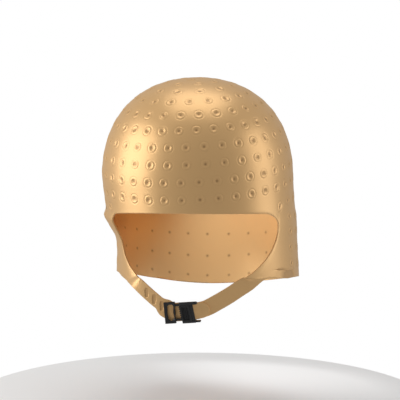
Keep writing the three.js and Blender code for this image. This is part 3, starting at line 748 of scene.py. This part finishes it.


# Silicone, with painted shade in its dents, and black plastic
GOLD, PAINTED_SHADE_GOLD = (0.78, 0.48, 0.21), (0.22, 0.1, 0.035)
silicone, tree, shader = material("pearly gold silicone", GOLD, 0.38, Metallic=0.5)
noise_bump(tree, shader, 60, 0.06, 0.001)
# Painted shade: the attribute darkens the colour in the dents towards the dark gold
painted_shade = tree.nodes.new("ShaderNodeAttribute")
painted_shade.attribute_name = "painted_shade"
blend = tree.nodes.new("ShaderNodeMixRGB")
blend.inputs["Color1"].default_value = (*GOLD, 1)
blend.inputs["Color2"].default_value = (*PAINTED_SHADE_GOLD, 1)
tree.links.new(painted_shade.outputs["Fac"], blend.inputs["Fac"])
tree.links.new(blend.outputs["Color"], shader.inputs["Base Color"])
mesh.materials.append(silicone)

plastic, tree, shader = material("black plastic", (0.012, 0.012, 0.013), 0.3)
noise_bump(tree, shader, 900, 0.04, 0.0002)


# Buckle, in its own millimetres: x to the right, y to the back, z up from its middle
TOP = BUCKLE_HEIGHT / 2
EDGE_ROUND = 0.22
FRAME_END = PEG_PLACE + BAR_WIDTH / 2
FRAME_START = FRAME_END - FRAME_LENGTH
WINDOW = {
    "across": [0.03, 0.35, 0.75, 1, 0.9, 1.05, 0.5, 0.08, 0],
    "up": [0.64, 0.75, 0.75, 0.62, 0.02, -0.53, -0.78, -0.57, 0.05],
}


def ring(form, points, depth):
    """A closed ring of edges through points seen from the front."""
    made = bmesh.ops.create_circle(form, segments=len(points), radius=1)["verts"]
    for v, (x, z) in zip(made, points):
        v.co = (x, depth, z)
    return edges_of(made)


def skin(form, rings, closed=False):
    """Joins rings in turn, and fills the first and the last one unless they are joined too."""
    for a, b in zip(rings, rings[1:] + rings[:1] if closed else rings[1:]):
        bmesh.ops.bridge_loops(form, edges=a + b)
    for edges in [] if closed else (rings[0], rings[-1]):
        bmesh.ops.contextual_create(form, geom=edges)


def block(form, points, front, back):
    """A solid between two depths."""
    skin(form, [ring(form, points, front), ring(form, points, back)])


def box(form, x, z, width, height, front, back):
    w, h = width / 2, height / 2
    block(form, [(x - w, z + h), (x + w, z + h), (x + w, z - h), (x - w, z - h)], front, back)


def buckle_object(form, name, node):
    """Turns a finished form into an object in the buckle's place."""
    bmesh.ops.recalc_face_normals(form, faces=form.faces)
    turn = Matrix.Rotation(-math.radians(BUCKLE_TURN), 3, "Y")
    bmesh.ops.rotate(form, verts=form.verts, matrix=turn)
    bmesh.ops.translate(form, verts=form.verts, vec=BUCKLE)
    bmesh.ops.scale(form, verts=form.verts, vec=TO_METRES)
    made = bpy.data.meshes.new(name)
    form.to_mesh(made)
    form.free()
    made.materials.append(plastic)
    thing = bpy.data.objects.new(name, made)
    bpy.context.collection.objects.link(thing)
    bevel = thing.modifiers.new("rounding", "BEVEL")
    bevel.width = EDGE_ROUND / 1000
    bevel.segments = 2
    bevel.limit_method = "ANGLE"
    bevel.angle_limit = math.radians(35)
    for p in made.polygons:
        p.use_smooth = True
    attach(thing, "root")
    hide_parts(node)


# Frame: its ledge slopes down to the window, and two arms and a peg are added
frame_front, frame_back = -CLEARANCE - FRAME_THICKNESS, -CLEARANCE
WINDOW_SINK = 0.9
window_ends = (FRAME_START + 1.45 * BAR_WIDTH, FRAME_END - 0.8 * BAR_WIDTH)
window = [(mix(*window_ends, a), u * TOP) for a, u in zip(WINDOW["across"], WINDOW["up"])]
frame_rim = [
    (FRAME_START, TOP),
    (mix(FRAME_START, FRAME_END, 0.35), TOP),
    (mix(FRAME_START, FRAME_END, 0.75), TOP),
    (FRAME_END, TOP),
    (FRAME_END - 0.2 * BAR_WIDTH, 0),
    (FRAME_END, -TOP),
    (mix(FRAME_START, FRAME_END, 0.5), -TOP),
    (FRAME_START + FRAME_LEAN, -TOP),
    (FRAME_START + FRAME_LEAN / 2, 0),
]
ledge = [(mix(a[0], b[0], 0.45), mix(a[1], b[1], 0.45)) for a, b in zip(frame_rim, window)]
form = bmesh.new()
skin(
    form,
    [
        ring(form, frame_rim, frame_front),
        ring(form, ledge, frame_front),
        ring(form, window, frame_front + WINDOW_SINK),
        ring(form, window, frame_back),
        ring(form, frame_rim, frame_back),
    ],
    closed=True,
)
for sign in (1, -1):
    level = sign * (TOP - BAR_WIDTH - ARM_HEIGHT / 2)
    rooted = ARM_REACH + BAR_WIDTH / 2
    depths = [frame_back - share * FRAME_THICKNESS for share in (0.8, 0.2)]
    box(form, FRAME_END + ARM_REACH - rooted / 2, level, rooted, ARM_HEIGHT, *depths)
peg_depths = (frame_front / 2, WALL + 3 * CLEARANCE)
box(form, PEG_PLACE, 0, 0.8 * BAR_WIDTH, 0.6 * SLOT_HEIGHT, *peg_depths)
buckle_object(form, "frame_skin", "buckle_frame")

# Clasp: it reaches round the folded strap, and its plate is in front of the fold
fold_depth = 2 * (turn_radius + WALL)
back_face = WALL + CLEARANCE
front_face = back_face - fold_depth - 2 * CLEARANCE - PLATE_THICKNESS
mid_plate, plate_back = front_face + PLATE_THICKNESS / 2, front_face + PLATE_THICKNESS
half_room = STRAP_WIDTH / 2 + CLEARANCE
RAISE = 0.45
FOOT, SHOULDER = -1, 0.86  # the plate's lower and upper edge, in shares of half its height


def slanted(start, end, high, low):
    """Four corners that lean with the clasp, from shares of its length and of its half height."""
    place = lambda share, z: CLASP_PLACE - CLASP_LEAN * z / 2 + share * CLASP_LENGTH
    return [
        (place(start, high), high * TOP),
        (place(end, high), high * TOP),
        (place(end, low), low * TOP),
        (place(start, low), low * TOP),
    ]


form = bmesh.new()
body, recess = slanted(0, 1, SHOULDER, FOOT), slanted(0.14, 0.6, 0.48, -0.7)
recess_floor = slanted(0.15, 0.59, 0.47, -0.69)
skin(
    form,
    [
        ring(form, body, plate_back),
        ring(form, body, front_face),
        ring(form, recess, front_face),
        ring(form, recess_floor, front_face + 0.85 * PLATE_THICKNESS),
    ],
)
for high, low in ((SHOULDER, half_room / TOP), (-half_room / TOP, FOOT)):
    block(form, slanted(0, 1, high, low), mid_plate, back_face)

# Raised edges of the clasp: start, end, high and low
RIDGES = {
    "start": (0, 0.1, 0.8, -0.98),
    "foot": (0.1, 1, -0.76, -0.98),
    "head": (0.1, 1, 0.82, 0.6),
    "middle": (0.64, 0.77, 0.6, -0.76),
    "end": (0.84, 1, 0.6, -0.76),
}
for ridge in RIDGES.values():
    block(form, slanted(*ridge), front_face - RAISE, front_face + RAISE)

# Ribs in the recess and small teeth along the start
RIBS, TEETH, TOOTH = 3, 6, (0.55, 0.7, 0.75)
for i in range(RIBS):
    at = 0.22 + 0.12 * i
    block(form, slanted(at, at + 0.04, 0.46, -0.68), mid_plate, plate_back)
for i in range(TEETH):
    up = mix(0.55, -0.42, i / (TEETH - 1))
    x, z = slanted(-0.03, 1, up, FOOT)[0]
    place = Matrix.Translation((x, front_face + 0.4, z)) @ Matrix.Diagonal((*TOOTH, 1))
    bmesh.ops.create_icosphere(form, subdivisions=2, radius=1, matrix=place)

# Pin that the right strap is folded round
pin_depth = oval_depth(BUCKLE.x + PIN_PLACE) + STRAP_REACH - turn_radius
bmesh.ops.create_cone(
    form,
    cap_ends=True,
    segments=16,
    radius1=PIN_RADIUS,
    radius2=PIN_RADIUS,
    depth=2 * half_room + 0.6,
    matrix=Matrix.Translation((PIN_PLACE, pin_depth, 0)),
)

# Round lever along the top, and the lip at the foot
middle_x = CLASP_PLACE - CLASP_LEAN / 2 + LEVER_LENGTH / 2
turned = Matrix.Translation((middle_x, front_face - 0.2, TOP - LEVER_THICKNESS / 2))
round_end = LEVER_THICKNESS / 2
lever = bmesh.ops.create_uvsphere(form, u_segments=16, v_segments=11, radius=round_end)["verts"]
for v in lever:
    if abs(v.co.z) > EDGE:
        v.co.z += math.copysign(LEVER_LENGTH / 2 - round_end, v.co.z)
bmesh.ops.transform(form, verts=lever, matrix=turned @ Matrix.Rotation(math.pi / 2, 4, "Y"))
lip_x = CLASP_PLACE + CLASP_LEAN / 2 + CLASP_LENGTH + LIP_LENGTH / 8
box(form, lip_x, LIP_HEIGHT / 2 - TOP, LIP_LENGTH, LIP_HEIGHT, plate_back, back_face)
buckle_object(form, "clasp_skin", "buckle_clasp")

# Camera, at the angle and distance that the outline was fitted at
AZIMUTH, ELEVATION, DISTANCE = 6, 5.5, 1.5
PICTURE, SCALE, SENSOR = 400, 0.00092, 36  # pixels, metres a pixel, millimetres
SHIFT_RIGHT, SHIFT_DOWN = 2.4, 24.7  # pixels
back = Vector((sin(AZIMUTH) * cos(ELEVATION), -cos(AZIMUTH) * cos(ELEVATION), sin(ELEVATION)))
across = Vector((cos(AZIMUTH), sin(AZIMUTH), 0))
up = back.cross(across)
middle = Vector((0, 0, (WALL - CROWN_HEIGHT) / 1000))
camera = bpy.data.objects.new("camera", bpy.data.cameras.new("camera"))
bpy.context.collection.objects.link(camera)
camera.location = middle + back * DISTANCE
target = middle + across * (SHIFT_RIGHT * SCALE) - up * (SHIFT_DOWN * SCALE)
camera.rotation_euler = (target - camera.location).to_track_quat("-Z", "Y").to_euler()
camera.data.sensor_width = SENSOR
camera.data.lens = SENSOR * DISTANCE / (PICTURE * SCALE)
bpy.context.scene.camera = camera

# World: white as the camera sees it, and weaker as a light
SEEN_WHITE, AMBIENT = 1, 0.4
world = bpy.data.worlds.new("studio")
bpy.context.scene.world = world
world.use_nodes = True
nodes, links = world.node_tree.nodes, world.node_tree.links
seen = nodes.new("ShaderNodeLightPath")
strength = nodes.new("ShaderNodeMapRange")
strength.inputs["To Min"].default_value = AMBIENT
strength.inputs["To Max"].default_value = SEEN_WHITE
links.new(seen.outputs["Is Camera Ray"], strength.inputs["Value"])
links.new(strength.outputs["Result"], nodes["Background"].inputs["Strength"])
nodes["Background"].inputs["Color"].default_value = (1, 1, 1, 1)
bpy.context.scene.view_settings.view_transform = "Standard"

# Floor, well below the cap
FLOOR_RADIUS, FLOOR_HEIGHT = 0.22, -0.3
form = bmesh.new()
bmesh.ops.create_circle(form, cap_ends=True, segments=96, radius=FLOOR_RADIUS)
bmesh.ops.translate(form, verts=form.verts, vec=(0, 0, FLOOR_HEIGHT))
floor_mesh = bpy.data.meshes.new("floor")
form.to_mesh(floor_mesh)
form.free()
paper, tree, shader = material("pale floor", (0.85, 0.85, 0.85), 0.9)
floor_mesh.materials.append(paper)
floor = bpy.data.objects.new("floor", floor_mesh)
bpy.context.collection.objects.link(floor)
floor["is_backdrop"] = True


# Lights, in metres and watts
def add_lamp(name, kind, place, aim, power):
    lamp = bpy.data.objects.new(name, bpy.data.lights.new(name, kind))
    bpy.context.collection.objects.link(lamp)
    lamp.location = place
    lamp.rotation_euler = (Vector(aim) - Vector(place)).to_track_quat("-Z", "Y").to_euler()
    lamp.data.energy = power
    return lamp


CROWN_MIDDLE = (0, 0, -0.09)
for name, place, size, power in (
    ("left", (-0.8, -0.2, 0.1), (0.7, 0.8), 4.8),
    ("right", (0.9, 0.0, 0.1), (0.5, 0.8), 2.1),
    ("top", (0, 0.1, 0.8), (0.7, 0.7), 2.8),
):
    panel = add_lamp(name, "AREA", place, CROWN_MIDDLE, power)
    panel.data.shape = "RECTANGLE"
    panel.data.size, panel.data.size_y = size

# A lamp in the crown lights the right of the hollow, and shows no reflection
lamp = add_lamp("inside", "SPOT", (-0.01, -0.04, -0.06), (0.05, 0.08, -0.165), 1.4)
lamp.visible_glossy = False
lamp.data.spot_size = math.radians(75)
lamp.data.spot_blend = 1
lamp.data.shadow_soft_size = 0.02

low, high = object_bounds()
sizes["seen"] = [list(low), list(high)]
